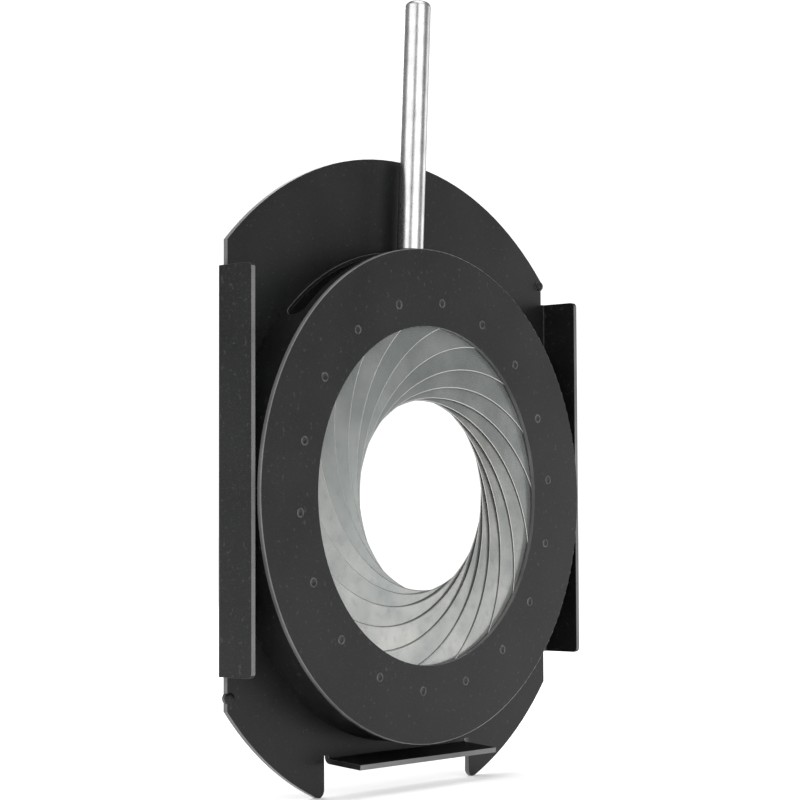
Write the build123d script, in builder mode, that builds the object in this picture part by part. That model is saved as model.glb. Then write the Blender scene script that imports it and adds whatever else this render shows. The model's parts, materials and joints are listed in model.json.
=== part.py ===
"""Drop-in iris for a profile spotlight.

A pressed carrier plate slides into the gate of the spotlight. A shallow can on its front holds eighteen
thin sprung leaves between a cover ring and a slotted drive ring. A rod screwed into the drive ring comes
out through a slot in the can; pushing it round closes or opens the leaves.

Millimetres. Origin on the light axis, at the front face of the carrier plate. X is right and Z is up as
seen from the front, and Y is the way the light path runs, away from the viewer.
Angles round the iris are counted clockwise from straight up, as seen from the front.
"""
import os
from math import asin, atan, atan2, cos, degrees, hypot, radians, sin, sqrt

from build123d import *

os.makedirs("parts", exist_ok=True)

# ---- driving dimensions ------------------------------------------------------------------------------

sheet = 1.2                     # thickness of the carrier plate
plate_half_width = 58.3
plate_top_radius = 81.4         # the top edge is an arc about the light axis
plate_bottom_radius = 75.5      # and so are the two feet
light_hole_radius = 42.0

flange_outer_half = 60.7        # the side flanges run in the spotlight's guides
flange_top = 50.7
flange_bottom = -40.2
flange_depth = 9.8              # how far the three flanges come forward
bend_radius = 1.0               # middle of the sheet in each bend
bend_overlap = 1.0              # how far a flange's own strip runs into the plate
corner_radius = 1.2

foot_inner_half = 26.7          # the feet stand either side of the bottom flange
foot_tip_radius = 1.8
tongue_half_width = 25.2
tongue_top = -61.0              # upper face of the bottom flange, at the plate
tongue_droop = 5.0              # degrees
relief_top = -60.2              # the bend relief slits end here

pip_radius = 1.45               # pressed pips that locate the plate in its guides
pip_height = 1.0                # low enough for the handle to pass over the upper one
pip_punch_radius = 0.9
pip_inset = 0.8
pip_upper_z = 55.5
pip_lower_z = -45.1

can_radius = 58.7
can_wall = 0.9
can_depth = 9.9
can_base = 1.0
can_base_hole_radius = 43.0
can_lip_inner_radius = 55.6
can_lip = 0.8

cover_radius = 59.0
cover_hole_radius = 40.44
cover_thickness = 1.0
cover_rim_round = 0.3

leaf_count = 18
leaf_pitch_angle = 360 / leaf_count
first_pivot_angle = 4.8
pivot_radius = 46.4
leaf_width = 11.9
leaf_thickness = 0.08
leaf_gap = 0.05                 # air between one leaf and the next
stack_gap = 0.1                 # air before the first leaf and behind the last
leaf_span = 145.0               # degrees from the pivot pin to the drive pin, about the leaf's centre
swing_at_rest = 22.1            # degrees closed from fully open
swing_closed = 43.6
steepest_angle = 68.0           # where neighbouring leaves cross closest, and must drop fastest
steep_width = 30.0
steepest_drop = 1 / 3           # leaf steps dropped per degree at the steepest angle
steady_drop = 0.02              # and everywhere else

pivot_pin_radius = 1.1
pivot_pin_fit = 0.05            # radial clearance in the cover ring
pivot_pin_sunk = 0.04           # below the front of the cover ring
pin_neck_radius = 0.7
drive_pin_radius = 0.95
slot_clearance = 0.1
drive_pin_proud = 0.5           # past the back of the drive ring

drive_inner_radius = 40.7
drive_outer_radius = 57.2
drive_thickness = 1.2
drive_ratio = 2.0               # degrees of drive ring for one degree of leaf
lug_width = 9.0
lug_inner = 53.4
lug_outer = 56.9
lug_back = -2.4

handle_y = -4.3
handle_radius = 3.2
handle_bottom = 59.15           # distance from the light axis
handle_top = 120.6
handle_lean = 3.1               # the rod stands a little off the radius
handle_foot_x = -0.45           # where the rod's line crosses the middle of the lug
handle_top_round = 1.2
stud_radius = 1.5
stud_reach = 8.0                # depth of the tapped hole in the rod
stud_inset = 0.2                # its foot stands this far inside the lug
stud_end_gap = 0.5              # left at the bottom of the tapped hole

can_slot_front = -7.3
can_slot_back = -1.9
can_slot_half_angle = 46.0
cut_past = 2.0                  # how far a cut runs past the wall it opens

rivet_count = 6
first_rivet_angle = 30.0
rivet_circle = 50.6
rivet_shank_radius = 1.3
rivet_head_radius = 2.4
rivet_crown_radius = 1.45
rivet_head_height = 0.8
rivet_sink = 0.7

brake_spring_inner = 53.2       # clear of the rivet heads
brake_spring_width = 3.4
brake_spring_thickness = 0.35
brake_spring_waves = 4
brake_spring_half_gap = 62.0    # degrees of the ring left open round the lug
brake_spring_gap = 0.06

# ---- sizes that follow from them ---------------------------------------------------------------------

cover_back = -can_depth
leaf_front = cover_back + stack_gap
leaf_inner_radius = pivot_radius - leaf_width / 2
leaf_drop_step = leaf_thickness + leaf_gap


def leaf_drop(angle):
    """How far the leaf has dropped behind its pivot end at this angle along it."""
    angle = min(max(angle, 0.0), leaf_span)
    bell = atan((angle - steepest_angle) / steep_width) + atan(steepest_angle / steep_width)
    return leaf_drop_step * (steepest_drop * steep_width * bell + steady_drop * angle)


leaf_back = leaf_front + leaf_drop(leaf_span) + leaf_thickness
drive_front = leaf_back + stack_gap
drive_back = drive_front + drive_thickness
print("leaves from y", round(leaf_front, 2), "to", round(leaf_back, 2))
print("drive ring from y", round(drive_front, 2), "to", round(drive_back, 2))


def around(angle, radius):
    """Point (x, z) at a clockwise angle from straight up."""
    return (radius * sin(radians(angle)), radius * cos(radians(angle)))


def leaf_centre(pivot_angle, swing):
    """Centre of a leaf's arc when it has swung this far from fully open."""
    offset = 2 * pivot_radius * sin(radians(swing / 2))
    return around(pivot_angle + 90 - swing / 2, offset)


def drive_pin_place(pivot_angle, swing):
    """Where the leaf's drive pin stands at this swing."""
    centre = leaf_centre(pivot_angle, swing)
    arm = around(pivot_angle - swing - leaf_span, pivot_radius)
    return (centre[0] + arm[0], centre[1] + arm[1])


def rivet_places():
    """Points (x, z) of the rivets that hold the can on the plate."""
    return [around(first_rivet_angle + number * 360 / rivet_count, rivet_circle)
            for number in range(rivet_count)]


def save(piece, name):
    """Label a finished piece and write it under its own name."""
    piece.part.label = name
    export_step(piece.part, f"parts/{name}.step")
    print(name, "solids", len(piece.part.solids()), "volume", round(piece.part.volume, 1))


def front_plane(y):
    """Plane facing the viewer at this depth; its axes are X and Z."""
    return Plane.XZ.offset(-y)


# ---- carrier plate -----------------------------------------------------------------------------------

top_start = degrees(asin(sqrt(1 - (plate_half_width / plate_top_radius) ** 2)))
foot_outer_angle = degrees(asin(sqrt(1 - (plate_half_width / plate_bottom_radius) ** 2)))
foot_inner_angle = degrees(asin(sqrt(1 - (foot_inner_half / plate_bottom_radius) ** 2)))
foot_arc = foot_inner_angle - foot_outer_angle

with BuildPart() as carrier_plate:
    with BuildSketch(front_plane(sheet)) as outline:
        with BuildLine():
            top_edge = CenterArc((0, 0), plate_top_radius, top_start, 180 - 2 * top_start)
            right_foot = CenterArc((0, 0), plate_bottom_radius, -foot_inner_angle, foot_arc)
            left_foot = CenterArc((0, 0), plate_bottom_radius, 180 + foot_outer_angle, foot_arc)
            Line(top_edge @ 0, right_foot @ 1)
            Line(top_edge @ 1, left_foot @ 0)
            Polyline(right_foot @ 0, (foot_inner_half, relief_top), (-foot_inner_half, relief_top),
                     left_foot @ 1)
        make_face()
        tips = outline.vertices().group_by(Axis.Y)[0]
        fillet(tips, foot_tip_radius)
        Circle(light_hole_radius, mode=Mode.SUBTRACT)
    extrude(amount=sheet)

    # side flanges, bent forward
    with BuildSketch(Plane.XY.offset(flange_bottom)):
        for side in (-1, 1):
            with BuildLine() as bend:
                FilletPolyline((side * (plate_half_width - bend_overlap), sheet / 2),
                               (side * (flange_outer_half - sheet / 2), sheet / 2),
                               (side * (flange_outer_half - sheet / 2), -flange_depth), radius=bend_radius)
            trace(bend.line, line_width=sheet)
    extrude(amount=flange_top - flange_bottom)
    flange_corners = (carrier_plate.edges().filter_by(Axis.X)
                      .filter_by(lambda edge: abs(edge.center().Y + flange_depth) < 0.01))
    fillet(flange_corners, corner_radius)

    # bottom flange, bent forward between the feet
    with BuildSketch(Plane.YZ.offset(-tongue_half_width)):
        with BuildLine() as bend:
            fall = tongue_top - sheet / 2
            FilletPolyline((sheet / 2, relief_top + bend_overlap),
                           (sheet / 2, fall),
                           (-flange_depth, fall - flange_depth * sin(radians(tongue_droop))),
                           radius=bend_radius)
        trace(bend.line, line_width=sheet)
    extrude(amount=2 * tongue_half_width)

    # locating pips, pressed from behind
    for x, z in ((plate_half_width - pip_inset, pip_upper_z), (pip_inset - plate_half_width, pip_lower_z)):
        with Locations((x, pip_radius - pip_height, z)):
            Sphere(pip_radius)
        with Locations((x, sheet, z)):
            Box(4 * pip_radius, 2 * pip_radius, 4 * pip_radius,
                align=(Align.CENTER, Align.MIN, Align.CENTER), mode=Mode.SUBTRACT)
            Sphere(pip_punch_radius, mode=Mode.SUBTRACT)

    # rivet holes, sunk on the back
    for x, z in rivet_places():
        with Locations(front_plane(sheet).location * Pos(x, z, 0)):
            Cylinder(rivet_shank_radius, 2 * (sheet + cut_past), mode=Mode.SUBTRACT)
            Cone(rivet_head_radius, rivet_shank_radius, rivet_sink,
                 align=(Align.CENTER, Align.CENTER, Align.MIN), mode=Mode.SUBTRACT)
save(carrier_plate, "carrier_plate")

# ---- can ---------------------------------------------------------------------------------------------

with BuildPart() as housing_can:
    with BuildSketch(front_plane(0)):
        Circle(can_radius)
        Circle(can_radius - can_wall, mode=Mode.SUBTRACT)
    extrude(amount=can_depth)
    with BuildSketch(front_plane(0)):
        Circle(can_radius)
        Circle(can_base_hole_radius, mode=Mode.SUBTRACT)
    extrude(amount=can_base)
    with BuildSketch(front_plane(cover_back)):
        Circle(can_radius)
        Circle(can_lip_inner_radius, mode=Mode.SUBTRACT)
    extrude(amount=-can_lip)

    # slot for the handle, with round ends
    slot_width = can_slot_back - can_slot_front
    end_angle = can_slot_half_angle - degrees(slot_width / 2 / can_radius)
    with BuildSketch(front_plane(can_slot_back)):
        with BuildLine():
            cut_outer = can_radius + cut_past
            cut_inner = can_radius - cut_past
            left = around(-end_angle, cut_outer)
            right = around(end_angle, cut_outer)
            inner_left = around(-end_angle, cut_inner)
            inner_right = around(end_angle, cut_inner)
            ThreePointArc(left, (0, cut_outer), right)
            Line(right, inner_right)
            ThreePointArc(inner_right, (0, cut_inner), inner_left)
            Line(inner_left, left)
        make_face()
    extrude(amount=slot_width, mode=Mode.SUBTRACT)
    for angle in (-end_angle, end_angle):
        x, z = around(angle, can_radius)
        outward = Plane(origin=(x, (can_slot_front + can_slot_back) / 2, z), z_dir=(x, 0, z))
        with Locations(outward):
            Cylinder(slot_width / 2, 2 * cut_past, mode=Mode.SUBTRACT)

    for x, z in rivet_places():
        with Locations(front_plane(0).location * Pos(x, z, 0)):
            Cylinder(rivet_shank_radius, 2 * (can_base + cut_past), mode=Mode.SUBTRACT)
save(housing_can, "housing_can")

with BuildPart() as housing_rivets:
    for x, z in rivet_places():
        with Locations(front_plane(sheet).location * Pos(x, z, 0)):
            Cylinder(rivet_shank_radius, sheet + can_base, align=(Align.CENTER, Align.CENTER, Align.MIN))
            Cone(rivet_head_radius, rivet_shank_radius, rivet_sink,
                 align=(Align.CENTER, Align.CENTER, Align.MIN))
        with Locations(front_plane(-can_base).location * Pos(x, z, 0)):
            Cone(rivet_head_radius, rivet_crown_radius, rivet_head_height,
                 align=(Align.CENTER, Align.CENTER, Align.MIN))
save(housing_rivets, "housing_rivets")

# ---- cover ring --------------------------------------------------------------------------------------

with BuildPart() as cover_ring:
    with BuildSketch(front_plane(cover_back)):
        Circle(cover_radius)
        Circle(cover_hole_radius, mode=Mode.SUBTRACT)
        for number in range(leaf_count):
            with Locations(around(first_pivot_angle + number * leaf_pitch_angle, pivot_radius)):
                Circle(pivot_pin_radius + pivot_pin_fit, mode=Mode.SUBTRACT)
    extrude(amount=cover_thickness)
    rim = cover_ring.edges().filter_by(GeomType.CIRCLE).sort_by(Axis.Y)
    outer_rim = rim.filter_by(lambda edge: edge.radius > cover_radius - 0.1)
    fillet(outer_rim[0], cover_rim_round)
save(cover_ring, "cover_ring")

# ---- leaves and their pins ---------------------------------------------------------------------------

leaf_stations = 18


def strip_station(centre, angle, radius, middle_y):
    """Plane square to a curved strip at this clockwise angle; its first axis points outward."""
    outward = around(angle, 1)
    forward = around(angle - 90, 1)
    return Plane(origin=(centre[0] + radius * outward[0], middle_y, centre[1] + radius * outward[1]),
                 x_dir=(outward[0], 0, outward[1]), z_dir=(forward[0], 0, forward[1]))


def pin_seat(place, outward_angle, y):
    """Plane facing the viewer at a pin; its first axis points out from the leaf's centre."""
    outward = around(outward_angle, 1)
    return Plane(origin=(place[0], y, place[1]), x_dir=(outward[0], 0, outward[1]), z_dir=(0, -1, 0))


for number in range(leaf_count):
    pivot_angle = first_pivot_angle + number * leaf_pitch_angle
    root_angle = pivot_angle - swing_at_rest
    tail_angle = root_angle - leaf_span
    centre = leaf_centre(pivot_angle, swing_at_rest)
    tail_front = leaf_front + leaf_drop(leaf_span)
    root_seat = pin_seat(around(pivot_angle, pivot_radius), root_angle, leaf_front + leaf_thickness)
    tail_place = drive_pin_place(pivot_angle, swing_at_rest)
    tail_seat = pin_seat(tail_place, tail_angle, tail_front + leaf_thickness)

    with BuildPart() as leaf:
        for station in range(leaf_stations + 1):
            angle = leaf_span * station / leaf_stations
            middle_y = leaf_front + leaf_drop(angle) + leaf_thickness / 2
            with BuildSketch(strip_station(centre, root_angle - angle, pivot_radius, middle_y)):
                Rectangle(leaf_width, leaf_thickness)
        loft()
        # round ends
        for seat, start in ((root_seat, 180), (tail_seat, 0)):
            with BuildSketch(seat):
                with BuildLine():
                    end_arc = CenterArc((0, 0), leaf_width / 2, start, 180)
                    Line(end_arc @ 1, end_arc @ 0)
                make_face()
            extrude(amount=leaf_thickness)
        for seat in (root_seat, tail_seat):
            with BuildSketch(seat):
                Circle(pin_neck_radius)
            extrude(amount=2 * leaf_thickness, both=True, mode=Mode.SUBTRACT)
    save(leaf, f"leaf_{number + 1:02d}")

    with BuildPart() as leaf_pins:
        for seat in (root_seat, tail_seat):
            with BuildSketch(seat):
                Circle(pin_neck_radius)
            extrude(amount=leaf_thickness)
        with BuildSketch(root_seat.offset(leaf_thickness)):
            Circle(pivot_pin_radius)
        extrude(amount=stack_gap + cover_thickness - pivot_pin_sunk)
        with BuildSketch(tail_seat):
            Circle(drive_pin_radius)
        extrude(amount=-(drive_thickness + drive_pin_proud))
    save(leaf_pins, f"leaf_pins_{number + 1:02d}")

# ---- drive ring --------------------------------------------------------------------------------------

lug_middle = (lug_inner + lug_outer) / 2
handle_way = (sin(radians(handle_lean)), 0, cos(radians(handle_lean)))


def along_handle(z):
    """Plane square to the handle where it reaches this height."""
    rise = z - lug_middle
    x = handle_foot_x + rise * sin(radians(handle_lean)) / cos(radians(handle_lean))
    return Plane(origin=(x, handle_y, z), x_dir=(0, 1, 0), z_dir=handle_way)


slot_steps = 10
slot_radius = drive_pin_radius + slot_clearance

with BuildPart() as drive_ring:
    with BuildSketch(front_plane(drive_back)):
        Circle(drive_outer_radius)
        Circle(drive_inner_radius, mode=Mode.SUBTRACT)
        for number in range(leaf_count):
            pivot_angle = first_pivot_angle + number * leaf_pitch_angle
            places = []
            for step in range(slot_steps + 1):
                swing = swing_closed * step / slot_steps
                x, z = drive_pin_place(pivot_angle, swing)
                turned = (swing - swing_at_rest) * drive_ratio
                radius = hypot(x, z)
                angle = degrees(atan2(x, z))
                places.append(around(angle + turned, radius))
            for here, there in zip(places, places[1:]):
                run = Vector(there[0] - here[0], there[1] - here[1])
                middle = ((here[0] + there[0]) / 2, (here[1] + there[1]) / 2, 0)
                with Locations(Location(middle, (0, 0, degrees(atan2(run.Y, run.X))))):
                    SlotCenterToCenter(run.length, 2 * slot_radius, mode=Mode.SUBTRACT)
    extrude(amount=drive_thickness)

    # lug for the handle stud
    with BuildSketch(front_plane(lug_back)):
        with Locations((0, lug_middle)):
            Rectangle(lug_width, lug_outer - lug_inner)
    extrude(amount=lug_back - drive_back)

    with BuildSketch(along_handle(lug_inner)):
        Circle(stud_radius)
    extrude(amount=2 * (lug_outer - lug_inner), mode=Mode.SUBTRACT)
save(drive_ring, "drive_ring")

# ---- handle ------------------------------------------------------------------------------------------

handle_length = (handle_top - handle_bottom) / cos(radians(handle_lean))
with BuildPart() as handle_rod:
    with BuildSketch(along_handle(handle_bottom)):
        Circle(handle_radius)
        Circle(stud_radius, mode=Mode.SUBTRACT)
    extrude(amount=stud_reach)
    with BuildSketch(along_handle(handle_bottom + stud_reach * cos(radians(handle_lean)))):
        Circle(handle_radius)
    extrude(amount=handle_length - stud_reach)
    top_rim = handle_rod.edges().filter_by(GeomType.CIRCLE).sort_by(Axis.Z)[-1]
    fillet(top_rim, handle_top_round)
save(handle_rod, "handle_rod")

with BuildPart() as handle_stud:
    with BuildSketch(along_handle(lug_inner + stud_inset)):
        Circle(stud_radius)
    stud_length = handle_bottom - lug_inner - stud_inset + stud_reach - stud_end_gap
    extrude(amount=stud_length)
save(handle_stud, "handle_stud")

# ---- brake spring ------------------------------------------------------------------------------------

spring_front = drive_back + brake_spring_gap
spring_back = -can_base - brake_spring_gap - brake_spring_thickness
spring_middle = brake_spring_inner + brake_spring_width / 2
spring_sweep = 360 - 2 * brake_spring_half_gap
stations_per_wave = 8
spring_stations = brake_spring_waves * stations_per_wave

with BuildPart() as brake_spring:
    for station in range(spring_stations + 1):
        share = station / spring_stations
        wave = (1 + cos(radians(360 * brake_spring_waves * share))) / 2
        middle_y = spring_back + (spring_front - spring_back) * wave + brake_spring_thickness / 2
        angle = -brake_spring_half_gap - share * spring_sweep
        with BuildSketch(strip_station((0, 0), angle, spring_middle, middle_y)):
            Rectangle(brake_spring_width, brake_spring_thickness)
    loft()
save(brake_spring, "brake_spring")
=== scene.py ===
# %% [markdown]
# # A drop-in iris
#
# The real thing is a ring of eighteen thin steel leaves that close round a beam of light. It slides into
# the gate of a stage spotlight. This lesson dresses a finished engineering model of it: the model brings
# the sizes and the joints, and the cells below bring the surfaces, the rounded edges and the light.
#
# Everything is in metres, in the model's own frame: X right, Z up, and Y along the beam.

# %% Load the frame
import json
from math import atan, atan2, cos, degrees, pi, radians, sin, sqrt

import bmesh
import bpy
from mathutils import Matrix, Vector


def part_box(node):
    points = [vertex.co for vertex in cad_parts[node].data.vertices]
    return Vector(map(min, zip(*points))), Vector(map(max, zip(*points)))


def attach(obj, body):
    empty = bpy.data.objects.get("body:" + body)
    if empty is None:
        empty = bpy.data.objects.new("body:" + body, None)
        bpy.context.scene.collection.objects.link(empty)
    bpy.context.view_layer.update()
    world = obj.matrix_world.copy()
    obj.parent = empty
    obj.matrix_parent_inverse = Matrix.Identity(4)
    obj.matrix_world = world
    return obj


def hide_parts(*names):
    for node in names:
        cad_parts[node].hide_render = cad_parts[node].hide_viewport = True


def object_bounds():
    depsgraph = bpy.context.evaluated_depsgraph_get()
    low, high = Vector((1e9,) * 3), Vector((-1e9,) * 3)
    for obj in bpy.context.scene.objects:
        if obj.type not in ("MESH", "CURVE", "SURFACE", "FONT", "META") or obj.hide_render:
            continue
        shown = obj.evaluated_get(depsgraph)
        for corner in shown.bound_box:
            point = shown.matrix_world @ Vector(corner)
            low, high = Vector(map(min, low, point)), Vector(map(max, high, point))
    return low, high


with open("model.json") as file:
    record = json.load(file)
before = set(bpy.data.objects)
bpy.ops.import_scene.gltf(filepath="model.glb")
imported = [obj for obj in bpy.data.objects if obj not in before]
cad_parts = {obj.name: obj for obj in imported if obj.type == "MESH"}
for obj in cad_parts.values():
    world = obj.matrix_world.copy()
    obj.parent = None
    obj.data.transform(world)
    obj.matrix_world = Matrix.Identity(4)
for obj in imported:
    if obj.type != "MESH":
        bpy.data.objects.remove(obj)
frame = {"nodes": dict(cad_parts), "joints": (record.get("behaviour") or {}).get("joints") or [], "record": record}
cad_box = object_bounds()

nodes = frame["nodes"]
MM = 0.001
MICRON = 0.001 * MM

# %% [markdown]
# ## The camera and the light
#
# The iris stands on its two feet on a pale floor. The camera is a long lens well round to the left and just
# below the middle, so that the ring shows as a tall ellipse and the straight edges stay upright.

# %% Camera
def link(obj):
    bpy.context.scene.collection.objects.link(obj)
    return obj


def look_at(where, target, roll=0.0):
    """A turn that points an object's -Z at the target with its Y up, then rolls it."""
    return (target - where).to_track_quat("-Z", "Y").to_matrix().to_4x4() @ Matrix.Rotation(roll, 4, "Z")


camera_azimuth = radians(-49.6)
camera_rise = radians(-3.2)
camera_roll = radians(-0.23)
camera_distance = 0.520
camera_target = Vector((-0.0006, -0.0012, 0.0227))
camera_back = Vector((sin(camera_azimuth) * cos(camera_rise), -cos(camera_azimuth) * cos(camera_rise),
                      sin(camera_rise)))
camera_place = camera_target + camera_back * camera_distance
camera_data = bpy.data.cameras.new("camera")
camera_data.lens = 96.7
camera_data.sensor_width = 36.0
camera_data.shift_y = 0.0022
camera_data.clip_start = 0.01
camera_data.clip_end = 20.0
camera = link(bpy.data.objects.new("camera", camera_data))
camera.matrix_world = Matrix.Translation(camera_place) @ look_at(camera_place, camera_target, camera_roll)
bpy.context.scene.camera = camera
print("camera at", [round(v, 3) for v in camera.location])

# %% [markdown]
# ### Lamps
#
# A product like this is lit with large soft boxes. The paint is black, so what the eye reads is almost
# only reflection, and the boxes' places matter more than the paint's colour. One box stands either side of
# the camera, which gives the round handle its two long highlights with a grey line between them. The box
# far to the right is the nearest to what the flat faces mirror.

# %% Lamps
lamp_target = Vector((0, 0, 0.02))


def soft_light(name, where, size, power):
    """A rectangular soft box that faces the object."""
    data = bpy.data.lights.new(name, "AREA")
    data.shape = "RECTANGLE"
    data.size, data.size_y = size
    data.energy = power
    lamp = link(bpy.data.objects.new(name, data))
    lamp.matrix_world = Matrix.Translation(where) @ look_at(Vector(where), lamp_target)


def round_about(azimuth, distance, height):
    """A place at this azimuth from the front, as the camera's own azimuth is counted."""
    return (sin(radians(azimuth)) * distance, -cos(radians(azimuth)) * distance, height)


soft_light("beside_camera_left", round_about(-94, 0.95, 0.15), (1.1, 1.3), 5.8)
soft_light("beside_camera_right", round_about(-12, 0.95, 0.15), (0.95, 1.3), 5.4)
soft_light("far_right", round_about(74, 1.1, 0.05), (0.76, 0.8), 2.1)
soft_light("top", (0.0, -0.2, 1.0), (0.9, 0.9), 4.0)
soft_light("rim_back", (0.5, 0.8, 0.5), (0.6, 0.6), 3.0)

print("lamps", len(bpy.data.lights))

# %% [markdown]
# ### The room
#
# A white studio lights everything and fills the background, but black paint that mirrored so much white
# would turn grey. In a real studio, black cloth hangs just out of view. Here the same is done with one
# switch: rays that come off a glossy surface see a much dimmer room than all other rays do. It is a
# lighting trick and not a property of the object. It depends on the kind of ray only, so it doesn't change
# as the camera moves.

# %% Room
wall_strength = 1.15
mirrored_strength = 0.20


def backdrop(sky, strength):
    node = sky.nodes.new("ShaderNodeBackground")
    node.inputs["Color"].default_value = (1, 1, 1, 1)
    node.inputs["Strength"].default_value = strength
    return node.outputs[0]


def studio_world():
    world = bpy.data.worlds.new("studio")
    world.use_nodes = True
    sky = world.node_tree
    sky.nodes.clear()
    switch = sky.nodes.new("ShaderNodeMixShader")
    path = sky.nodes.new("ShaderNodeLightPath")
    sky.links.new(path.outputs["Is Glossy Ray"], switch.inputs[0])
    sky.links.new(backdrop(sky, wall_strength), switch.inputs[1])
    sky.links.new(backdrop(sky, mirrored_strength), switch.inputs[2])
    sky.links.new(switch.outputs[0], sky.nodes.new("ShaderNodeOutputWorld").inputs[0])
    return world


bpy.context.scene.world = studio_world()
bpy.context.scene.view_settings.view_transform = "Standard"
print("room", wall_strength, "and", mirrored_strength, "in reflections")

# %% [markdown]
# ## Finishes
#
# Each finish is a small node tree. A helper adds nodes and links them, so that each material below reads
# as a list of what it is made of. Patterns use Object coordinates, which are metres on this object, so a
# noise scale of 1000 repeats about every millimetre.

# %% Node helpers
class Tree:
    """A material under construction."""

    def __init__(self, name):
        self.material = bpy.data.materials.new(name)
        self.material.use_nodes = True
        self.tree = self.material.node_tree
        self.shader = self.tree.nodes["Principled BSDF"]
        self.coords = self.add("ShaderNodeTexCoord")

    def add(self, kind, **settings):
        node = self.tree.nodes.new(kind)
        for key, value in settings.items():
            setattr(node, key, value)
        return node

    def link(self, source, target):
        self.tree.links.new(source, target)

    def noise(self, scale, detail=3.0, roughness=0.5, vector=None, stretch=None):
        """Noise between 0 and 1; stretch squeezes the pattern along the axes."""
        node = self.add("ShaderNodeTexNoise")
        node.inputs["Scale"].default_value = scale
        node.inputs["Detail"].default_value = detail
        node.inputs["Roughness"].default_value = roughness
        source = vector or self.coords.outputs["Object"]
        if stretch:
            mapping = self.add("ShaderNodeMapping")
            mapping.inputs["Scale"].default_value = stretch
            self.link(source, mapping.inputs["Vector"])
            source = mapping.outputs["Vector"]
        self.link(source, node.inputs["Vector"])
        return node.outputs["Fac"]

    def ramp(self, value, low, high, start=0.35, end=0.65):
        """Turns a value into a colour or grey between low and high."""
        node = self.add("ShaderNodeValToRGB")
        node.color_ramp.elements[0].position = start
        node.color_ramp.elements[1].position = end
        for element, shade in zip(node.color_ramp.elements, (low, high)):
            element.color = (shade, shade, shade, 1) if isinstance(shade, float) else (*shade, 1)
        self.link(value, node.inputs["Fac"])
        return node.outputs["Color"]

    def math(self, operation, a, b):
        node = self.add("ShaderNodeMath", operation=operation)
        for socket, value in zip(node.inputs, (a, b)):
            if isinstance(value, (int, float)):
                socket.default_value = value
            else:
                self.link(value, socket)
        return node.outputs[0]

    def mix(self, factor, a, b):
        node = self.add("ShaderNodeMix", data_type="RGBA")
        for socket, value in zip((node.inputs[0], node.inputs[6], node.inputs[7]), (factor, a, b)):
            if isinstance(value, (int, float)):
                socket.default_value = value
            elif isinstance(value, tuple):
                socket.default_value = (*value, 1)
            else:
                self.link(value, socket)
        return node.outputs[2]

    def bump(self, height, strength, distance, after=None):
        node = self.add("ShaderNodeBump")
        node.inputs["Strength"].default_value = strength
        node.inputs["Distance"].default_value = distance
        self.link(height, node.inputs["Height"])
        if after:
            self.link(after, node.inputs["Normal"])
        return node.outputs["Normal"]

    def finish(self, colour, roughness, normal=None, metallic=0.0):
        for name, value in (("Base Color", colour), ("Roughness", roughness), ("Normal", normal)):
            if value is None:
                continue
            if isinstance(value, tuple):
                self.shader.inputs[name].default_value = (*value, 1)
            elif isinstance(value, float):
                self.shader.inputs[name].default_value = value
            else:
                self.link(value, self.shader.inputs[name])
        self.shader.inputs["Metallic"].default_value = metallic
        return self.material


# %% [markdown]
# ### Black paint
#
# The plate, can and cover ring are sheet steel sprayed satin black. Up close the paint has a fine pebble
# and a few specks of dust, and it thins a little on the edges, where handling polishes it. The same recipe
# makes both: the edge is only lighter and glossier. That lighter edge colour is also a painted highlight,
# for the bright lines that the sheet edges catch.

# %% Satin black paint
def satin_black(name, low, high, least_roughness, specular):
    paint = Tree(name)
    cloudy = paint.noise(45, 4)
    pebble = paint.noise(2600, 2)
    ripple = paint.noise(420, 2)
    specks = paint.noise(900, 1, 0.6)
    dust = paint.noise(3400, 1, 0.5)
    colour = paint.mix(paint.ramp(specks, 0.0, 0.40, 0.66, 0.74), paint.ramp(cloudy, low, high),
                       (0.045, 0.045, 0.045))
    colour = paint.mix(paint.ramp(dust, 0.0, 0.55, 0.60, 0.76), colour, (0.040, 0.041, 0.041))
    rough = paint.math("ADD", paint.math("MULTIPLY", cloudy, 0.12), least_roughness)
    normal = paint.bump(ripple, 0.10, 30 * MICRON)
    normal = paint.bump(pebble, 0.40, 12 * MICRON, normal)
    paint.shader.inputs["Specular IOR Level"].default_value = specular
    return paint.finish(colour, rough, normal)


black_paint = satin_black("satin_black_paint", (0.0040, 0.0043, 0.0044), (0.0075, 0.0079, 0.0080), 0.34, 0.25)
# the edge paint is many times lighter than the face: partly worn paint, partly a painted highlight
black_edge_wear_and_highlight = satin_black("satin_black_paint_edge_wear_and_highlight", (0.060, 0.060, 0.060), (0.120, 0.120, 0.118), 0.30, 0.6)
print("paints", black_paint.name, black_edge_wear_and_highlight.name)
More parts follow.
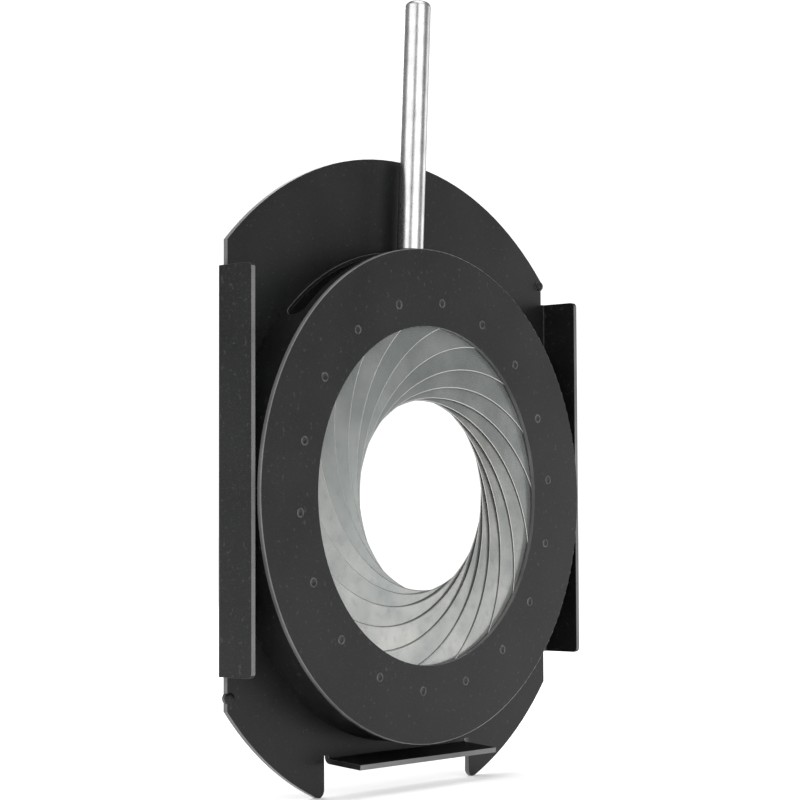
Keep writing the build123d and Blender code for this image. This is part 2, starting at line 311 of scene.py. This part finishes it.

# %% [markdown]
# ### Rolled spring steel
#
# The leaves are thin cold-rolled strip. It is grey rather than bright, with a faint grain along the
# rolling direction, cloudy stains from handling, and hair scratches where the leaves rub over each other.
# The sheared edge is lighter than the face: partly bare steel, partly a painted highlight for the bright
# line it catches. The leaf mesh carries its own flat coordinates, so the grain follows each leaf as it turns.

# %% Leaf steel
def leaf_steel_finish():
    steel = Tree("rolled_leaf_steel")
    flat = steel.add("ShaderNodeUVMap", uv_map="leaf_flat").outputs["UV"]
    edge = steel.add("ShaderNodeAttribute", attribute_name="cut_edge").outputs["Fac"]
    shade = steel.add("ShaderNodeAttribute", attribute_name="leaf_tone_and_painted_shade").outputs["Fac"]
    stains = steel.noise(95, 5, 0.55)
    blotches = steel.noise(420, 3, 0.6)
    grain = steel.noise(1500, 3, 0.6, flat, (0.12, 2.2, 1))
    rubs = steel.noise(700, 2, 0.7, flat, (0.05, 4.0, 1))
    base = steel.ramp(stains, (0.285, 0.298, 0.290), (0.415, 0.417, 0.398), 0.36, 0.66)
    base = steel.mix(steel.math("MULTIPLY", steel.ramp(blotches, 0.0, 1.0, 0.52, 0.70), 0.35), base,
                     (0.185, 0.200, 0.197))
    base = steel.mix(steel.math("MULTIPLY", steel.ramp(rubs, 0.0, 1.0, 0.60, 0.72), 0.35), base,
                     (0.52, 0.52, 0.50))
    # each leaf's shade mixes its colour towards a dark greenish grey: mostly painted shade, darker round the top
    # of the ring, with a little of each leaf's own tone
    base = steel.mix(steel.math("MULTIPLY", shade, 0.82), base, (0.190, 0.212, 0.207))
    # the sheared edge is painted lighter: partly bare steel, partly a painted highlight
    base = steel.mix(edge, base, (0.42, 0.42, 0.405))
    rough = steel.math("ADD", steel.math("MULTIPLY", stains, 0.12), 0.14)
    rough = steel.math("ADD", rough, steel.math("MULTIPLY", blotches, 0.08))
    normal = steel.bump(steel.noise(38, 2, 0.5), 0.30, 120 * MICRON)
    normal = steel.bump(grain, 0.22, 6 * MICRON, normal)
    normal = steel.bump(rubs, 0.12, 6 * MICRON, normal)
    return steel.finish(base, rough, normal, 0.74)


leaf_steel = leaf_steel_finish()
print("leaf finish", leaf_steel.name)

# %% [markdown]
# ### The other metals
#
# The handle is bare drawn rod, so its streaks run lengthways. The drive ring and spring are plain strip,
# and the stud is zinc plated. One recipe serves all four: cloudy colour, a grain stretched along one axis,
# and roughness that follows the grain. The pins are blackened, so they have a recipe of their own.

# %% Bare metals
def bare_metal(name, dark, light, rough, grain_stretch, grain_strength=0.2):
    metal = Tree(name)
    cloudy = metal.noise(160, 4, 0.55)
    grain = metal.noise(2400, 3, 0.6, None, grain_stretch)
    pits = metal.noise(1900, 2, 0.5)
    base = metal.ramp(cloudy, dark, light, 0.35, 0.68)
    base = metal.mix(metal.math("MULTIPLY", metal.ramp(grain, 0.0, 1.0, 0.55, 0.75), 0.35), base,
                     tuple(v * 0.72 for v in dark))
    roughness = metal.math("ADD", metal.math("MULTIPLY", grain, 0.18), rough)
    normal = metal.bump(grain, grain_strength, 8 * MICRON)
    normal = metal.bump(pits, 0.15, 6 * MICRON, normal)
    return metal.finish(base, roughness, normal, 1.0)


rod_metal = bare_metal("drawn_rod", (0.66, 0.66, 0.66), (0.86, 0.86, 0.85), 0.20, (1.0, 1.0, 0.16), 0.35)
ring_metal = bare_metal("drive_ring_strip", (0.32, 0.32, 0.315), (0.48, 0.48, 0.47), 0.30, (0.2, 1, 1))
spring_metal = bare_metal("blue_spring_strip", (0.20, 0.21, 0.23), (0.33, 0.34, 0.36), 0.26, (0.3, 1, 1))


def blackened_pin():
    """Oil-blackened steel; the rim the punch turned over is lighter, partly burnished steel and partly a painted
    highlight.
    """
    pin = Tree("blackened_pin")
    rim = pin.add("ShaderNodeAttribute", attribute_name="rim").outputs["Fac"]
    cloudy = pin.noise(900, 3, 0.6)
    base = pin.ramp(cloudy, (0.008, 0.008, 0.008), (0.022, 0.022, 0.021), 0.35, 0.68)
    rubbed_rim_and_highlight = pin.ramp(cloudy, (0.025, 0.025, 0.0245), (0.10, 0.10, 0.098), 0.35, 0.62)
    # the rim faces are painted lighter: partly burnished steel, partly a painted highlight
    base = pin.mix(rim, base, rubbed_rim_and_highlight)
    rough = pin.math("ADD", pin.math("MULTIPLY", cloudy, 0.15), 0.30)
    return pin.finish(base, rough, pin.bump(cloudy, 0.2, 8 * MICRON), 0.35)


pin_metal = blackened_pin()
zinc = bare_metal("zinc_plate", (0.50, 0.51, 0.52), (0.68, 0.68, 0.68), 0.28, (1, 1, 1))
print("materials", len(bpy.data.materials))

# %% [markdown]
# ## Pressed and turned parts
#
# The engineering model's edges are perfectly sharp, and real sheet never is: a punched edge has a small
# radius that catches a bright line of light. The model's meshes are left alone. Each visible part gets a
# merged copy of its mesh, a narrow bevel on every sharp edge, and its own paint on the bevel. On the black
# parts that paint is lighter, partly worn paint and partly a painted highlight.

# %% Softened copies of the model's parts
plate_thickness = 1.2 * MM
flange_front = -9.6 * MM            # the flanges' front edges lie beyond this
bevel_steps = 2
sharp_from = radians(32)
full_weight = 100                   # large flat faces decide the shading


def is_cut_edge(node, centre, normal):
    """Whether a face is a sheared edge of the sheet, which takes the lighter edge paint: partly thin, worn paint,
    partly a painted highlight.
    """
    if node == "carrier_plate":
        outline = 0 < centre.y < plate_thickness and abs(normal.y) < 0.1
        fronts = centre.y < flange_front and normal.y < -0.9
        return outline or fronts
    if node == "cover_ring":
        # every side wall of the ring, its rim and its hole alike, takes the lighter edge paint as worn paint and
        # painted highlight
        return -0.97 < normal.y < 0.9
    return False


def softened(node, name, edge_width, materials):
    """A copy of a model part with rounded edges; cut edges and bevels take the last material."""
    mesh = nodes[node].data.copy()
    mesh.name = name
    mesh.materials.clear()
    for material in materials:
        mesh.materials.append(material)
    shape = bmesh.new()
    shape.from_mesh(mesh)
    bmesh.ops.remove_doubles(shape, verts=shape.verts, dist=0.5 * MICRON)
    bmesh.ops.dissolve_limit(shape, angle_limit=radians(0.5), verts=shape.verts, edges=shape.edges)
    for face in shape.faces:
        face.smooth = True
        cut = is_cut_edge(node, face.calc_center_median(), face.normal)
        face.material_index = len(materials) - 1 if cut else 0
    shape.to_mesh(mesh)
    shape.free()
    piece = link(bpy.data.objects.new(name, mesh))
    bevel = piece.modifiers.new("edge", "BEVEL")
    bevel.limit_method = "ANGLE"
    bevel.angle_limit = sharp_from
    bevel.width = edge_width
    bevel.segments = bevel_steps
    bevel.material = len(materials) - 1
    flatten = piece.modifiers.new("flatten", "WEIGHTED_NORMAL")
    flatten.mode = "FACE_AREA"
    flatten.weight = full_weight
    evaluated = piece.evaluated_get(bpy.context.evaluated_depsgraph_get())
    baked = bpy.data.meshes.new_from_object(evaluated)
    piece.modifiers.clear()
    piece.data = baked
    print(name, "faces", len(baked.polygons))
    return piece


body_of_node = {node: body for body, names in frame["record"]["behaviour"]["bodies"].items()
                for node in names}


def stand_for(piece, node):
    """The piece moves with the node's body and is shown in its place."""
    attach(piece, body_of_node[node])
    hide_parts(node)


for node, name, edge_width, materials in (
        ("carrier_plate", "pressed_carrier_plate", 0.16 * MM, (black_paint, black_edge_wear_and_highlight)),
        ("housing_can", "drawn_can", 0.12 * MM, (black_paint, black_edge_wear_and_highlight)),
        ("cover_ring", "punched_cover_ring", 0.12 * MM, (black_paint, black_edge_wear_and_highlight)),
        ("drive_ring", "slotted_drive_ring", 0.08 * MM, (ring_metal,)),
        ("brake_spring", "waved_brake_spring", 0.05 * MM, (spring_metal,))):
    stand_for(softened(node, name, edge_width, materials), node)

# %% [markdown]
# ## Growing repeated parts with Geometry Nodes
#
# Eighteen leaves, thirty-six pins and six rivets are the same few shapes over and over. Each kind gets one
# Geometry Nodes tree with its sizes as named inputs. The tree is run once for each piece, and its result
# is kept as a plain mesh that rides on its own body. The helper below wraps a tree the way the material
# helper did: arithmetic on fields reads as a formula.

# %% Geometry Nodes helpers
class Grower:
    """A Geometry Nodes tree under construction, with named inputs and one geometry output."""

    def __init__(self, name, inputs):
        self.tree = bpy.data.node_groups.new(name, "GeometryNodeTree")
        self.tree.interface.new_socket("Geometry", in_out="INPUT", socket_type="NodeSocketGeometry")
        for label, default in inputs.items():
            kind = "NodeSocketMaterial" if default is None else "NodeSocketFloat"
            socket = self.tree.interface.new_socket(label, in_out="INPUT", socket_type=kind)
            if default is not None:
                socket.default_value = default
        self.tree.interface.new_socket("Geometry", in_out="OUTPUT", socket_type="NodeSocketGeometry")
        self.inputs = self.tree.nodes.new("NodeGroupInput").outputs
        self.output = self.tree.nodes.new("NodeGroupOutput").inputs[0]

    def add(self, kind, links=None, **settings):
        node = self.tree.nodes.new(kind)
        for key, value in settings.items():
            setattr(node, key, value)
        for key, value in (links or {}).items():
            self.feed(node.inputs[key], value)
        return node

    def feed(self, socket, value):
        if isinstance(value, bpy.types.NodeSocket):
            self.tree.links.new(value, socket)
        else:
            socket.default_value = value

    def math(self, operation, a, b=0.0):
        return self.add("ShaderNodeMath", {0: a, 1: b}, operation=operation).outputs[0]

    def total(self, *values):
        result = values[0]
        for value in values[1:]:
            result = self.math("ADD", result, value)
        return result

    def product(self, *values):
        result = values[0]
        for value in values[1:]:
            result = self.math("MULTIPLY", result, value)
        return result

    def vector(self, x, y, z):
        return self.add("ShaderNodeCombineXYZ", {0: x, 1: y, 2: z}).outputs[0]

    def store(self, geometry, name, value, domain="POINT", kind="FLOAT"):
        node = self.add("GeometryNodeStoreNamedAttribute", data_type=kind, domain=domain)
        self.feed(node.inputs["Geometry"], geometry)
        node.inputs["Name"].default_value = name
        self.feed(node.inputs["Value"], value)
        return node.outputs[0]

    def read(self, name, kind="FLOAT"):
        return self.add("GeometryNodeInputNamedAttribute", {"Name": name}, data_type=kind).outputs["Attribute"]

    def point(self, label):
        """The vector made of three inputs, such as Foot X, Foot Y and Foot Z."""
        return self.vector(*(self.inputs[f"{label} {axis}"] for axis in "XYZ"))

    def unit_grid(self, columns, rows):
        """A square grid, and the two coordinates that run over it from 0 to 1."""
        grid = self.add("GeometryNodeMeshGrid", {"Size X": 1.0, "Size Y": 1.0,
                                                 "Vertices X": columns, "Vertices Y": rows})
        place = self.add("ShaderNodeSeparateXYZ", {0: self.add("GeometryNodeInputPosition").outputs[0]})
        return (grid.outputs["Mesh"], self.math("ADD", place.outputs[0], 0.5),
                self.math("ADD", place.outputs[1], 0.5))

    def flipped(self, geometry):
        return self.add("GeometryNodeFlipFaces", {0: geometry}).outputs[0]

    def join(self, *parts):
        whole = self.add("GeometryNodeJoinGeometry")
        for part in parts:
            self.tree.links.new(part, whole.inputs[0])
        return whole.outputs[0]

    def weld(self, geometry, distance):
        return self.add("GeometryNodeMergeByDistance", {"Geometry": geometry, "Distance": distance}).outputs[0]

    def close(self, geometry, material):
        """Real meshes with a material, as the tree's result."""
        real = self.add("GeometryNodeRealizeInstances", {0: geometry}).outputs[0]
        dressed = self.add("GeometryNodeSetMaterial", {"Geometry": real, "Material": material}).outputs[0]
        self.tree.links.new(dressed, self.output)


def grow(grower, name, **values):
    """Runs a tree with these inputs and returns its result as a plain mesh object."""
    piece = link(bpy.data.objects.new(name, bpy.data.meshes.new(name)))
    modifier = piece.modifiers.new("grow", "NODES")
    modifier.node_group = grower.tree
    for item in grower.tree.interface.items_tree:
        if item.in_out == "INPUT" and item.name in values:
            modifier[item.identifier] = values[item.name]
    evaluated = piece.evaluated_get(bpy.context.evaluated_depsgraph_get())
    mesh = bpy.data.meshes.new_from_object(evaluated)
    mesh.name = name
    piece.modifiers.clear()
    piece.data = mesh
    return piece


def smoothed(piece):
    for face in piece.data.polygons:
        face.use_smooth = True


# %% [markdown]
# ### The leaf
#
# A leaf is a band of steel bent to an arc, with round ends and a rivet hole at each. Laid round the iris,
# every leaf passes behind the next, so it climbs from the cover ring at its pivot down to the drive ring
# at its tail. It could be cut from a flat sheet and bent by hand. A grid is simpler: its length becomes
# the angle along the arc, its width becomes the radius, and one formula gives the drop. The grid is then
# thickened, and its concave edge is sheared to a slant, which is the bright line in the real one. The slant is
# drawn wider than so thin a sheet would have, because the true one would be too narrow to see.

# %% The leaf's own sizes
pivots = [Vector(joint["pos_m"]) for joint in frame["joints"] if joint["child"].startswith("leaf_")]
pivot_radius = sum(sqrt(p.x ** 2 + p.z ** 2) for p in pivots) / len(pivots)
leaf_width = 11.9 * MM
leaf_thickness = 0.08 * MM
leaf_gap = 0.05 * MM
leaf_span = radians(145.0)
steepest = radians(68.0)
steep_width = radians(30.0)
steepest_drop = 1 / 3               # leaf steps dropped per degree at the steepest angle
steady_drop = 0.02                  # and everywhere
swing = radians(22.1)
edge_slant = 0.26 * MM
leaf_columns, leaf_rows = 121, 25
leaf_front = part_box("leaf_01")[0].y
print("pivot circle", round(pivot_radius * 1000, 2), "mm, leaves start at y", round(leaf_front * 1000, 2))


def leaf_tree():
    leaf = Grower("iris_leaf", {
        "Pivot Angle": 0.0, "Swing": 0.0, "Pivot Radius": 0.0464, "Width": 0.0119, "Thickness": 0.00008,
        "Drop Step": 0.00013, "Span": 2.53, "Steepest": 1.187, "Steep Width": 0.524, "Front": -0.0098,
        "Slant": 0.0002, "Shade": 0.5, "Material": None})
    size = leaf.inputs
    half = leaf.math("MULTIPLY", size["Width"], 0.5)
    sheet, along, across = leaf.unit_grid(leaf_columns, leaf_rows)

    # across the band, rows crowd towards both edges so that the round ends come out smooth
    offset = leaf.product(leaf.math("COSINE", leaf.product(across, pi)), half, -1.0)
    reach = leaf.math("SQRT", leaf.math("MAXIMUM", leaf.math(
        "SUBTRACT", leaf.product(half, half), leaf.product(offset, offset)), 0.0))
    overrun = leaf.math("DIVIDE", reach, size["Pivot Radius"])
    whole = leaf.total(size["Span"], overrun, overrun)
    angle = leaf.math("SUBTRACT", leaf.product(along, whole), overrun)

    # how far the leaf has dropped at this angle
    held = leaf.math("MINIMUM", leaf.math("MAXIMUM", angle, 0.0), size["Span"])
    bell = leaf.total(
        leaf.math("ARCTANGENT", leaf.math("DIVIDE", leaf.math("SUBTRACT", held, size["Steepest"]),
                                          size["Steep Width"])),
        leaf.math("ARCTANGENT", leaf.math("DIVIDE", size["Steepest"], size["Steep Width"])))
    steepness = leaf.product(size["Steep Width"], degrees(steepest_drop))
    drop = leaf.product(size["Drop Step"], leaf.total(leaf.product(steepness, bell),
                                                      leaf.product(held, degrees(steady_drop))))

    # the arc's centre, and the point on it
    centre_turn = leaf.total(size["Pivot Angle"], pi / 2, leaf.product(size["Swing"], -0.5))
    centre_out = leaf.product(size["Pivot Radius"], 2.0, leaf.math("SINE", leaf.product(size["Swing"], 0.5)))
    turn = leaf.math("SUBTRACT", leaf.math("SUBTRACT", size["Pivot Angle"], size["Swing"]), angle)
    radius = leaf.math("ADD", size["Pivot Radius"], offset)

    def spot(distance):
        return leaf.vector(
            leaf.total(leaf.product(centre_out, leaf.math("SINE", centre_turn)),
                       leaf.product(distance, leaf.math("SINE", turn))),
            leaf.total(size["Front"], drop, size["Thickness"]),
            leaf.total(leaf.product(centre_out, leaf.math("COSINE", centre_turn)),
                       leaf.product(distance, leaf.math("COSINE", turn))))

    narrow = leaf.math("ADD", radius, leaf.product(size["Slant"], leaf.math("SUBTRACT", 1.0, across)))
    sheet = leaf.store(sheet, "flat_u", leaf.product(angle, size["Pivot Radius"]))
    sheet = leaf.store(sheet, "flat_v", offset)
    sheet = leaf.store(sheet, "front_place", spot(narrow), kind="FLOAT_VECTOR")
    back = leaf.add("GeometryNodeSetPosition", {"Geometry": sheet, "Position": spot(radius)}).outputs[0]

    # thicken towards the viewer
    raised = leaf.add("GeometryNodeExtrudeMesh", {"Mesh": back, "Individual": False}, mode="FACES")
    raised.inputs["Offset Scale"].default_value = 0.0
    lift = leaf.vector(0.0, leaf.product(size["Thickness"], -1.0), 0.0)
    moved = leaf.add("ShaderNodeVectorMath", {0: leaf.read("front_place", "FLOAT_VECTOR"), 1: lift},
                     operation="ADD")
    body = leaf.add("GeometryNodeSetPosition", {"Geometry": raised.outputs["Mesh"],
                                                "Selection": raised.outputs["Top"],
                                                "Position": moved.outputs[0]}).outputs[0]
    # the side walls are marked for the lighter edge colour, partly a painted highlight
    body = leaf.store(body, "cut_edge", raised.outputs["Side"], "FACE")
    solid = leaf.weld(leaf.join(body, leaf.flipped(back)), 2 * MICRON)

    # the grid was drawn facing away from its own thickness, so the closed leaf is turned inside out
    outward = leaf.flipped(solid)
    flat = leaf.vector(leaf.read("flat_u"), leaf.read("flat_v"), 0.0)
    mapped = leaf.store(outward, "leaf_flat", flat, "CORNER", "FLOAT2")
    # the leaf's shade, mostly painted shade, rides on the mesh for the finish
    mapped = leaf.store(mapped, "leaf_tone_and_painted_shade", size["Shade"])
    leaf.close(mapped, size["Material"])
    return leaf


# %% [markdown]
# ### Growing the leaves
#
# The one tree is run eighteen times, each time with its own pivot. Each leaf also gets its own shade,
# which darkens its colour. Most of it is painted shade: it drifts slowly round the ring and is darkest near
# the top, standing in for the darker reflections there. A small step from each leaf to the next is the
# leaves' own tone, and the drift is a choice of look.

# %% Grow the leaves
# the drift is painted shade round the ring; the step is each leaf's own tone
middle_shade, painted_shade_drift, leaf_tone_step = 0.42, 0.42, 0.16
darkest_at = radians(15)            # clockwise from straight up
step_turn = 2.4                     # radians, so that neighbours differ


def tone_and_painted_shade_of(number, around):
    """0 is clean steel and 1 is the darkest: a painted shade round the top of the ring plus each leaf's own tone.
    """
    return middle_shade + painted_shade_drift * cos(around - darkest_at) + leaf_tone_step * sin(number * step_turn)


leaf_grower = leaf_tree()
for number, pivot in enumerate(pivots, 1):
    around = atan2(pivot.x, pivot.z)
    piece = grow(leaf_grower, f"steel_leaf_{number:02d}", **{
        "Pivot Angle": around, "Swing": swing, "Pivot Radius": pivot_radius,
        "Width": leaf_width, "Thickness": leaf_thickness, "Drop Step": leaf_thickness + leaf_gap,
        "Span": leaf_span, "Steepest": steepest, "Steep Width": steep_width, "Front": leaf_front,
        "Slant": edge_slant, "Shade": tone_and_painted_shade_of(number, around), "Material": leaf_steel})
    smoothed(piece)
    stand_for(piece, f"leaf_{number:02d}")
print("leaf faces", len(piece.data.polygons))

# %% [markdown]
# ### Pins, rivets and the rod
#
# These are all turned parts: a disc pulled up into a stack of steps, each step a little wider or narrower
# than the last. A lathe works the same way. Each step extrudes the top face and then scales it. A step
# with no height and a scale under one is a shoulder, and a step with a negative height sinks a crater,
# which is the mark that a riveting punch leaves in the end of a pin.

# %% A turned part as a stack of steps
def turned(tree, radius, steps, segments):
    """Geometry of a closed turned solid on +Z; steps are (rise, new radius, is a bright rim)."""
    disc = tree.add("GeometryNodeMeshCircle", fill_type="NGON")
    disc.inputs["Vertices"].default_value = segments
    disc.inputs["Radius"].default_value = radius
    body = tree.store(disc.outputs[0], "rim", 0.0, "FACE")
    base = tree.flipped(body)
    top = None
    width = radius
    for rise, new_width, bright in steps:
        raised = tree.add("GeometryNodeExtrudeMesh", {"Mesh": body, "Individual": False}, mode="FACES")
        raised.inputs["Offset Scale"].default_value = rise
        if top is not None:
            tree.feed(raised.inputs["Selection"], top)
        top = raised.outputs["Top"]
        body = tree.add("GeometryNodeScaleElements", {"Geometry": raised.outputs["Mesh"], "Selection": top,
                                                      "Scale": new_width / width}, domain="FACE").outputs[0]
        width = new_width
        # rim faces are marked; the pin finish paints them lighter, partly as a painted highlight
        if bright:
            mark = tree.add("GeometryNodeStoreNamedAttribute", data_type="FLOAT", domain="FACE")
            tree.feed(mark.inputs["Geometry"], body)
            tree.feed(mark.inputs["Selection"], raised.outputs["Side"])
            mark.inputs["Name"].default_value = "rim"
            mark.inputs["Value"].default_value = 1.0
            body = mark.outputs[0]
    return tree.weld(tree.join(body, base), 0.5 * MICRON)


def placed(tree, geometry, place, tilt):
    move = tree.add("GeometryNodeTransform", {"Geometry": geometry, "Translation": place})
    tree.feed(move.inputs["Rotation"], tilt)
    return move.outputs[0]


def flat_shaded(piece, smooth_angle):
    """Smooth shading on the round sides only."""
    piece.data.set_sharp_from_angle(angle=radians(smooth_angle))
    smoothed(piece)


# %% [markdown]
# ### Pins
#
# Each leaf has a pin riveted through either end. The front one turns in a hole of the cover ring, and its
# end shows there as a small dark ring, where the punch left a crater. The rear one runs in a slot of the
# drive ring. Both have a thin neck that passes through the leaf.

# %% Pins
neck_radius = 0.70 * MM
pivot_pin_radius = 1.10 * MM
drive_pin_radius = 0.95 * MM
pivot_rim, drive_rim = 0.10 * MM, 0.12 * MM      # heights of the rounded rims
pin_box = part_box("leaf_pins_01")
pivot_tip, drive_tip = pin_box[0].y, pin_box[1].y
tail_drop = (leaf_thickness + leaf_gap) * (
    degrees(steep_width) * steepest_drop * (atan((leaf_span - steepest) / steep_width)
                                            + atan(steepest / steep_width))
    + steady_drop * degrees(leaf_span))
tail_face = leaf_front + tail_drop + leaf_thickness


def pin_tree():
    pins = Grower("leaf_pins", {"Pivot X": 0.0, "Pivot Z": 0.0, "Drive X": 0.0, "Drive Z": 0.0,
                                "Material": None})
    length = leaf_front + leaf_thickness - pivot_tip
    pivot_pin = turned(pins, neck_radius, (
        (leaf_thickness, neck_radius, False), (0.0, pivot_pin_radius, False),
        (length - leaf_thickness - pivot_rim, pivot_pin_radius, False),
        (pivot_rim, 1.00 * MM, True), (0.0, 0.78 * MM, True), (-0.16 * MM, 0.62 * MM, False),
        (-0.05 * MM, 0.20 * MM, False)), 40)
    reach = drive_tip - tail_face
    drive_pin = turned(pins, neck_radius, (
        (leaf_thickness, neck_radius, False), (0.0, drive_pin_radius, False),
        (reach - drive_rim, drive_pin_radius, False), (drive_rim, 0.80 * MM, True)), 32)
    seat = pins.vector(pins.inputs["Pivot X"], leaf_front + leaf_thickness, pins.inputs["Pivot Z"])
    tail = pins.vector(pins.inputs["Drive X"], tail_face - leaf_thickness, pins.inputs["Drive Z"])
    pins.close(pins.join(placed(pins, pivot_pin, seat, (pi / 2, 0, 0)),
                         placed(pins, drive_pin, tail, (-pi / 2, 0, 0))), pins.inputs["Material"])
    return pins


pin_grower = pin_tree()
out_by = 2 * pivot_radius * sin(swing / 2)      # from the light axis to the centre of a leaf's arc
for number, pivot in enumerate(pivots, 1):
    around = atan2(pivot.x, pivot.z)
    towards = around + pi / 2 - swing / 2
    arm = around - swing - leaf_span
    piece = grow(pin_grower, f"riveted_pins_{number:02d}", **{
        "Pivot X": pivot.x, "Pivot Z": pivot.z,
        "Drive X": out_by * sin(towards) + pivot_radius * sin(arm),
        "Drive Z": out_by * cos(towards) + pivot_radius * cos(arm), "Material": pin_metal})
    flat_shaded(piece, 35)
    stand_for(piece, f"leaf_pins_{number:02d}")
print("pin faces", len(piece.data.polygons))

# %% [markdown]
# ### Rivets
#
# Six rivets hold the can on the plate. They are all alike and evenly spaced, so one rivet is drawn and put
# on the corners of a six-sided circle as instances, which are made into real meshes at the end.

# %% Rivets
rivet_count = 6
rivet_circle = 50.6 * MM
rivet_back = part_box("housing_rivets")[1].y


def rivet_tree():
    rivets = Grower("housing_rivets", {"Circle": 0.0506, "Back": 0.0012, "Material": None})
    rivet = turned(rivets, 2.30 * MM, (
        (0.04 * MM, 2.36 * MM, False), (0.66 * MM, 1.30 * MM, False), (1.50 * MM, 1.30 * MM, False),
        (0.0, 2.25 * MM, False), (0.10 * MM, 2.36 * MM, False), (0.30 * MM, 2.10 * MM, True),
        (0.22 * MM, 1.60 * MM, False), (0.13 * MM, 0.90 * MM, False)), 40)
    ring = rivets.add("GeometryNodeMeshCircle", {"Vertices": rivet_count, "Radius": rivets.inputs["Circle"]})
    spots = rivets.add("GeometryNodeMeshToPoints", {0: ring.outputs[0]})
    copies = rivets.add("GeometryNodeInstanceOnPoints", {"Points": spots.outputs[0], "Instance": rivet})
    back = rivets.vector(0.0, rivets.inputs["Back"], 0.0)
    rivets.close(placed(rivets, copies.outputs[0], back, (pi / 2, 0, 0)), rivets.inputs["Material"])
    return rivets


piece = grow(rivet_tree(), "dome_rivets", **{"Circle": rivet_circle, "Back": rivet_back,
                                              "Material": black_paint})
flat_shaded(piece, 40)
stand_for(piece, "housing_rivets")
print("rivet faces", len(piece.data.polygons))

# %% [markdown]
# ### Handle and stud
#
# The handle is a length of plain drawn rod with its far end rounded over. It screws onto a stud in the
# lug of the drive ring. The stud's thread is a real helix: a grid is rolled into a tube, and its radius
# falls and rises with height and with the angle together.

# %% Rod
handle_mount = next(mount for mount in frame["record"]["mounts"] if mount["name"] == "handle_end")
handle_way = Vector(handle_mount["axis"]).normalized()
handle_point = Vector(handle_mount["pos_m"])
handle_radius = handle_mount["dims"]["r_mm"] * MM
handle_lean = atan2(handle_way.x, handle_way.z)
wall = handle_mount["dims"]["length_mm"] * MM
end_round = 1.2 * MM
foot_chamfer = 0.2 * MM
rod_sides = 96
rod_foot = handle_point - handle_way * wall / 2


def rod_tree():
    rod = Grower("handle_rod", {"Lean": 0.0, "Foot X": 0.0, "Foot Y": 0.0, "Foot Z": 0.0, "Material": None})
    quarter = [radians(15 * step) for step in range(1, 7)]
    heights = [0.0] + [sin(turn) * end_round for turn in quarter]
    rounding = [(heights[i + 1] - heights[i], handle_radius - end_round * (1 - cos(turn)), False)
                for i, turn in enumerate(quarter)]
    steps = [(foot_chamfer, handle_radius, False), (wall - foot_chamfer, handle_radius, False)] + rounding
    shape = turned(rod, handle_radius - foot_chamfer, steps, rod_sides)
    lean = rod.vector(0.0, rod.inputs["Lean"], 0.0)
    rod.close(placed(rod, shape, rod.point("Foot"), lean), rod.inputs["Material"])
    return rod


piece = grow(rod_tree(), "turned_handle", **{"Lean": handle_lean, "Foot X": rod_foot.x, "Foot Y": rod_foot.y,
                                             "Foot Z": rod_foot.z, "Material": rod_metal})
flat_shaded(piece, 40)
stand_for(piece, "handle_rod")
print("rod faces", len(piece.data.polygons))

# %% Stud
stud_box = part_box("handle_stud")
stud_radius = 1.5 * MM
stud_pitch = 0.5 * MM
thread_depth = 0.25 * MM
thread_columns, thread_rows = 25, 211


def stud_tree():
    stud = Grower("handle_stud", {"Lean": 0.0, "Foot X": 0.0, "Foot Y": 0.0, "Foot Z": 0.0,
                                  "Radius": 0.0015, "Length": 0.013, "Pitch": 0.0005, "Depth": 0.00025,
                                  "Material": None})
    grid, turn, up = stud.unit_grid(thread_columns, thread_rows)
    row = stud.product(up, thread_rows - 1.0)

    # the first and last rows shrink to a point, which closes the ends
    along = stud.math("DIVIDE", stud.math("SUBTRACT", row, 1.0), thread_rows - 3.0)
    along = stud.math("MINIMUM", stud.math("MAXIMUM", along, 0.0), 1.0)
    height = stud.product(along, stud.inputs["Length"])
    phase = stud.math("SUBTRACT", stud.math("DIVIDE", height, stud.inputs["Pitch"]), turn)
    flank = stud.product(stud.math("PINGPONG", phase, 0.5), 2.0, stud.inputs["Depth"])
    inside = stud.product(stud.math("GREATER_THAN", row, 0.5),
                          stud.math("LESS_THAN", row, thread_rows - 1.5))
    radius = stud.product(inside, stud.math("SUBTRACT", stud.inputs["Radius"], flank))
    angle = stud.product(turn, 2 * pi)
    spot = stud.vector(stud.product(radius, stud.math("COSINE", angle)),
                       stud.product(radius, stud.math("SINE", angle)), height)
    tube = stud.add("GeometryNodeSetPosition", {"Geometry": grid, "Position": spot})
    lean = stud.vector(0.0, stud.inputs["Lean"], 0.0)
    stud.close(placed(stud, stud.weld(tube.outputs[0], 1 * MICRON), stud.point("Foot"), lean),
               stud.inputs["Material"])
    return stud


stud_length = (stud_box[1].z - stud_box[0].z - 2 * stud_radius * sin(handle_lean)) / cos(handle_lean)
stud_start = stud_box[0].z + stud_radius * sin(handle_lean)
stud_foot = handle_point + handle_way * ((stud_start - handle_point.z) / handle_way.z)
piece = grow(stud_tree(), "threaded_stud", **{
    "Lean": handle_lean, "Foot X": stud_foot.x, "Foot Y": stud_foot.y, "Foot Z": stud_foot.z,
    "Radius": stud_radius, "Length": stud_length, "Pitch": stud_pitch, "Depth": thread_depth,
    "Material": zinc})
stand_for(piece, "handle_stud")
print("stud length", round(stud_length * 1000, 2), "mm")

# %% [markdown]
# ## The floor
#
# The iris stands on a plain white sheet that is much larger than the view. It has no gloss at all, so
# it shows only the soft shadow under the feet and melts into the room behind.

# %% Floor
floor_half = 6.0
lowest = cad_box[0].z
floor_mesh = bpy.data.meshes.new("floor")
floor_corners = [(x * floor_half, y * floor_half, lowest) for x, y in ((-1, -1), (1, -1), (1, 1), (-1, 1))]
floor_mesh.from_pydata(floor_corners, [], [(0, 1, 2, 3)])
floor = link(bpy.data.objects.new("floor", floor_mesh))
floor_finish = Tree("pale_floor")
floor_finish.shader.inputs["Specular IOR Level"].default_value = 0.0
floor_mesh.materials.append(floor_finish.finish((0.92, 0.92, 0.92), 0.9))
print("floor at", round(lowest / MM, 2), "mm")
